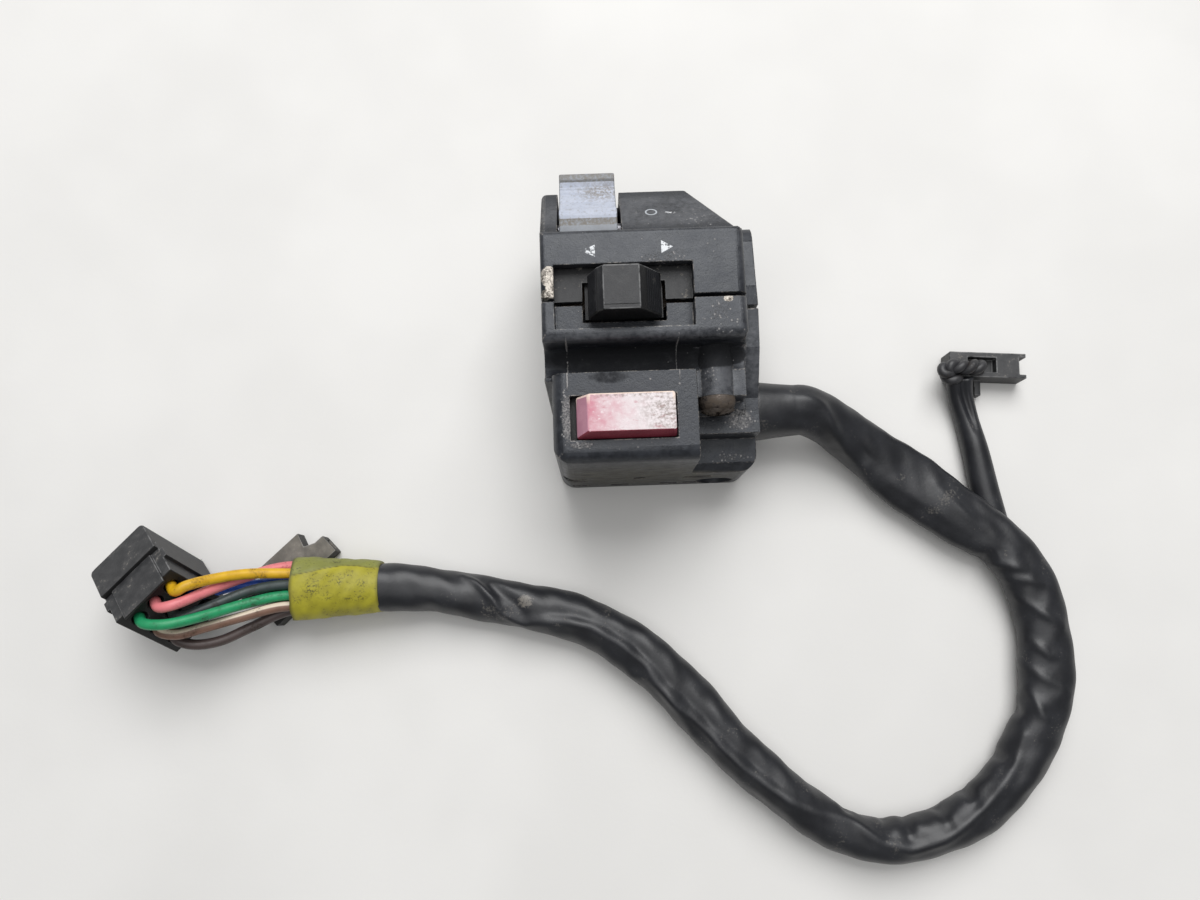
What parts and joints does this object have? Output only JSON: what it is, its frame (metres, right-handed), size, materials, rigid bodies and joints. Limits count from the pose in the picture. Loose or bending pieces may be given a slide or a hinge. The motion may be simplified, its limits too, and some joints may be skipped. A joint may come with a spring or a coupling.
{
  "type": "handlebar switch cluster",
  "caption": "Two-piece die-cast handlebar switch housing with indicator slide, horn button, dimmer rocker, clamp bore and a sleeved wiring loom ending in plug connectors.",
  "frame": {"origin": "on the axis of the handlebar clamp bore, 25.5 mm from its end by the grip", "axes": "+X along the bar, away from the grip; +Y towards the upper half; +Z out of the control face"},
  "size_m": [0.2381, 0.1666, 0.053],
  "materials": {
    "housing": "worn black paint over die-cast metal",
    "clamp_screw": "dull, lightly rusted",
    "black_plastic": "matte",
    "knob_plastic": "satin",
    "insulator": "matte",
    "contact_brass": "satin",
    "steel": "satin",
    "horn_red": "faded and worn",
    "rocker_grey": "satin",
    "sleeve": "satin",
    "tape": "satin",
    "wire_yellow": "satin",
    "wire_pink": "satin",
    "wire_blue": "satin",
    "wire_black": "satin",
    "wire_green": "satin",
    "wire_brown": "satin",
    "wire_dark_brown": "satin",
    "connector": "matte",
    "second_connector": "matte"
  },
  "bodies": {
    "housing": {"upper_shell": "housing", "lower_shell": "housing", "clamp_screws": "clamp_screw", "turn_cover_plate": "black_plastic", "turn_contact_base": "insulator", "turn_fixed_contacts": "contact_brass", "turn_base_screws": "steel", "horn_spring": "steel", "horn_contact_base": "insulator", "horn_fixed_contacts": "contact_brass", "horn_base_screws": "steel", "dimmer_pivot_pin": "steel", "dimmer_contact_base": "insulator", "dimmer_fixed_contacts": "contact_brass", "cable_grommet": "sleeve", "loom_sleeve": "sleeve", "loom_tape": "tape", "wire_yellow": "wire_yellow", "wire_pink": "wire_pink", "wire_blue": "wire_blue", "wire_black": "wire_black", "wire_green": "wire_green", "wire_brown_white": "wire_brown", "wire_dark_brown": "wire_dark_brown", "main_connector": "connector", "main_terminals": "contact_brass", "second_connector": "second_connector", "second_terminals": "contact_brass", "second_lead": "black_plastic", "branch_sleeve": "sleeve", "branch_wires": "black_plastic", "branch_connector": "connector", "branch_terminals": "contact_brass"},
    "turn_carriage": {"turn_carriage": "black_plastic", "turn_moving_contacts": "contact_brass", "turn_detent_ball": "steel", "turn_detent_spring": "steel", "turn_cancel_spring": "steel"},
    "turn_knob": {"turn_knob": "knob_plastic"},
    "horn_button": {"horn_button": "horn_red", "horn_contact_plate": "contact_brass"},
    "dimmer_rocker": {"dimmer_rocker": "rocker_grey", "dimmer_moving_contacts": "contact_brass", "dimmer_detent_ball": "steel", "dimmer_detent_spring": "steel"}
  },
  "joints": [
    {"name": "turn_slide", "type": "slide", "parent": "housing", "child": "turn_carriage", "axis": [1, 0, 0], "range_m": [-0.005, 0.005]},
    {"name": "turn_push", "type": "slide", "parent": "turn_carriage", "child": "turn_knob", "axis": [0, 0, -1], "range_m": [0, 0.002], "stiffness_N_per_m": 600, "springref_m": -0.001, "deforming": ["turn_cancel_spring"]},
    {"name": "horn_press", "type": "slide", "parent": "housing", "child": "horn_button", "axis": [0, 0, -1], "range_m": [0, 0.0024], "stiffness_N_per_m": 900, "springref_m": -0.0012, "deforming": ["horn_spring"]},
    {"name": "dimmer_rock", "type": "hinge", "parent": "housing", "child": "dimmer_rocker", "pos_m": [0, 0.0215, 0.013], "axis": [1, 0, 0], "range_deg": [-14, 0]}
  ]
}
